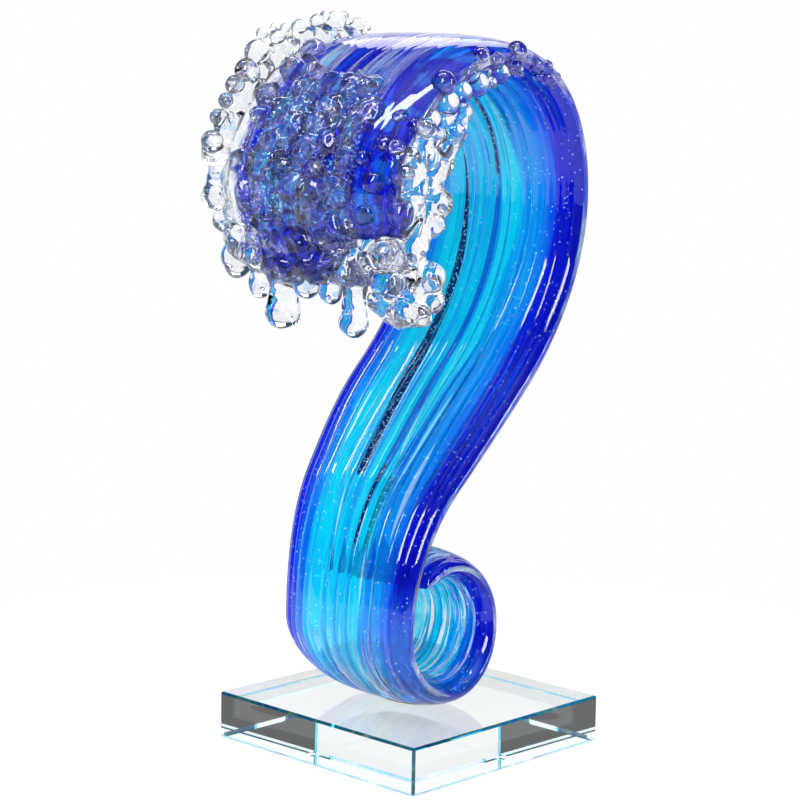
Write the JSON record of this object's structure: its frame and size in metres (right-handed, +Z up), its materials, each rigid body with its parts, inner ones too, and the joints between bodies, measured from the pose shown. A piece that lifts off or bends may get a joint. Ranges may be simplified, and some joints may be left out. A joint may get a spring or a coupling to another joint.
{
  "type": "glass wave sculpture",
  "caption": "Curled strip of fused blue and turquoise glass bars that breaks over in a crest trimmed with clear glass foam, standing on a bevelled square crystal block.",
  "frame": {"origin": "centre of the crystal block's flat underside, which rests on the shelf", "axes": "+Z up; the block's sides lie along X and Y; the wave stands in the XZ plane turned 4 degrees about Z, and breaks towards -X"},
  "size_m": [0.1518, 0.1149, 0.2967],
  "materials": {
    "crystal": "polished optical crystal",
    "adhesive": "clear cured film",
    "clear_glass": "fire polished",
    "cobalt_glass": "fire polished, cobalt blue",
    "turquoise_glass": "fire polished, turquoise",
    "azure_glass": "fire polished, azure blue",
    "aventurine_glass": "fire polished, dark with fine sparkles",
    "foam_glass": "fire polished, clear with fine bubbles"
  },
  "bodies": {
    "root": {"base_block": "crystal", "adhesive_film": "adhesive", "clear_far_edge": "clear_glass", "cobalt_far_bar": "cobalt_glass", "turquoise_wide_bar": "turquoise_glass", "azure_mid_bar": "azure_glass", "aventurine_cane": "aventurine_glass", "turquoise_near_bar": "turquoise_glass", "azure_near_bar": "azure_glass", "cobalt_near_bar": "cobalt_glass", "clear_near_edge": "clear_glass", "front_foam": "foam_glass", "near_curtain": "foam_glass", "lip_fringe": "foam_glass", "far_edging": "foam_glass", "near_beads": "foam_glass", "far_beads": "foam_glass", "lip_drips": "foam_glass"}
  },
  "joints": []
}
